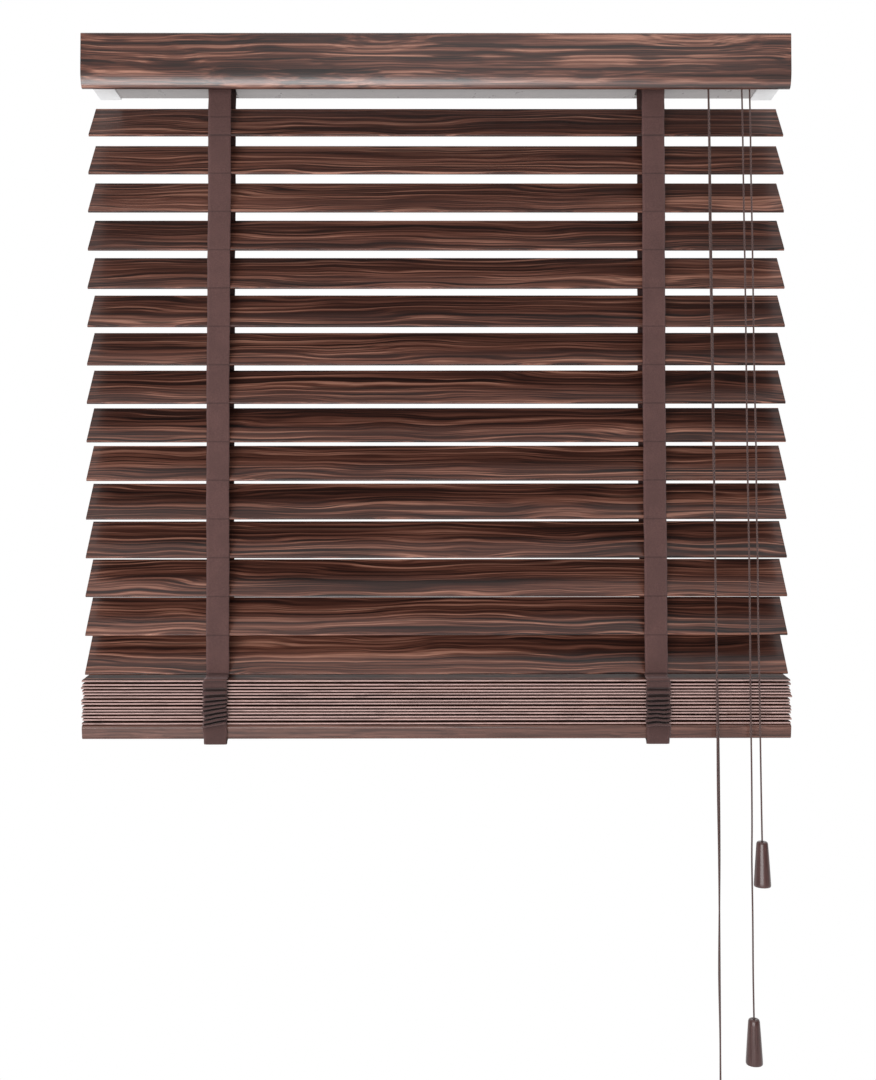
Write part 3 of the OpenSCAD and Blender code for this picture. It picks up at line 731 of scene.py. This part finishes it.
def bunchPath(side, seed):
    # a bulged top band, one big fold, small folds that droop over each other, and the end under the rail
    chance = random.Random(seed)
    path = []
    y = bunch["out"]
    for i in range(9):
        t = i / 9
        swell = math.sin(math.pi * min(1, t * 1.1)) ** 0.6
        path.append(Vector((0, y - 0.0016 + bunch["bandBulge"] * swell, bunch["top"] - bunch["band"] * t)))
    z = bunch["top"] - bunch["band"]
    for fold in range(bunch["small"] + 1):
        high = bunch["fold"] * chance.uniform(0.85, 1.12) if fold else bunch["bigFold"]
        deep = bunch["deep"] * chance.uniform(0.8, 1.0)
        for step in range(bunch["steps"]):
            share = step / bunch["steps"]
            turn = 2 * math.pi * share
            path.append(Vector((0, y - deep * math.cos(turn) - 0.0002,
                                z - high * share - bunch["droop"] * high * math.sin(turn))))
        z -= high
    lean = Matrix.Rotation(blind["stackLean"] * side, 3, "X")
    under = [(0.0278, -0.002), (0.0277, -0.0065), (0.0275, -0.0105), (0.0264, -0.0126), (0.0245, -0.0118),
             (0.022, -0.0095), (0.0185, -0.009), (0.0145, -0.009)]
    for depth, rise in under:
        turned = lean @ Vector((0, depth, rise)) + Vector((0, 0, blind["rail"]))
        if turned.z < z - 0.0015:
            path.append(turned)
    return [Vector((0, side * point.y, point.z)) for point in path]


def bunchShape(x, side, slant, curl, seed):
    path = bunchPath(side, seed)
    smooth = smoothRoute(path, 3)
    chance = random.Random(seed + 1)
    phases = [chance.uniform(0, 2 * math.pi) for _ in range(3)]
    shifted = [point + Vector((x, 0, 0)) for point in smooth]
    top, bottom = bunch["top"], bunch["bottom"]

    def share(z):
        t = (top - z) / (top - bottom)
        return max(0.0, min(1.0, t * 2.2 - 0.35)) * max(0.0, min(1.0, (1.06 - t) * 5))

    def lean(i, across):
        z = smooth[i].z
        much = share(z)
        rise = slant * across * 0.0125 * much
        longWave = math.sin(across * 2.6 + phases[0] + z * 160) * 0.6
        wave = curl * much * (longWave + math.sin(across * 5.2 + phases[1]) * 0.4)
        skew = bunch["skew"] * much * math.sin(z * 330 + phases[2])
        return Vector((skew, 0, rise + wave))

    def narrow(i):
        z = smooth[i].z
        wide = 1 + bunch["pinch"] * share(z) * math.sin(z * 900 + phases[0])
        tip = max(0.0, min(1.0, (blind["rail"] - 0.0045 - z) / 0.004))
        return wide - bunch["tuck"] * tip

    return strip(shifted, bunch["wide"], tape["thick"], 10, lean, narrow), runLength(smooth)


first = True
for side, where in ((-1, "front"), (1, "back")):
    for x, hand, slant, curl, seed in ((-blind["ladder"], "Left", 0.2, 0.0002, 3),
                                       (blind["ladder"], "Right", 0.03, 0.0007, 8)):
        shape, long = bunchShape(x, side, slant, curl, seed + 20 * (side + 1))
        piece = makePiece(where + "Folds" + hand, [shape], foldShadeCloth, "stack",
                          ["tape_bunches"] if first else ())
        first = False

# the stretch of tape between the lowest hanging slat's edge and the folds
for side, where in ((-1, "front"), (1, "back")):
    edgeZ = slatHeight(blind["hanging"]) + side * edgeDrop - tape["hem"]
    for x, hand in ((-blind["ladder"], "Left"), (blind["ladder"], "Right")):
        if side < 0:
            line = [(tape["out"], edgeZ), (0.0164, edgeZ - 0.0016), (0.0195, edgeZ - 0.0032),
                    (0.0235, edgeZ - 0.0038), (0.0268, edgeZ - 0.0045), (0.028, bunch["top"])]
        else:
            line = [(tape["out"], edgeZ), (0.0162, edgeZ - 0.01), (0.0185, edgeZ - 0.022),
                    (0.0225, edgeZ - 0.033), (0.0262, edgeZ - 0.041), (0.028, bunch["top"])]
        path = smoothRoute([Vector((x, side * y, z)) for y, z in line], 5)
        shape = strip(path, tape["wide"], tape["thick"], 8)
        link = makePiece(where + "Link" + hand, [shape], tapeCloth)
        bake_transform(link)
print("folds made")


# floor

floorMaterial, floorGraph, floorShader = newMaterial("floorPaint", 0.7)
patches = floorGraph.noise(floorGraph.add("TexCoord").outputs["Object"], 3.0, 2.0)
floorGraph.put(floorShader.inputs["Base Color"],
               floorGraph.ramp(patches, [(0.2, (0.84, 0.84, 0.84)), (0.8, (0.87, 0.87, 0.87))]))
floorSize = {"radius": 1.4, "height": -2.2, "corners": 64}
floorMesh = bpy.data.meshes.new("floor")
turns = [2 * math.pi * i / floorSize["corners"] for i in range(floorSize["corners"])]
ring = [(floorSize["radius"] * math.cos(turn), floorSize["radius"] * math.sin(turn), floorSize["height"])
        for turn in turns]
floorMesh.from_pydata(ring, [], [tuple(range(floorSize["corners"]))])
floorMesh.materials.append(floorMaterial)
floor = bpy.data.objects.new("floor", floorMesh)
bpy.context.collection.objects.link(floor)

print("scene made")
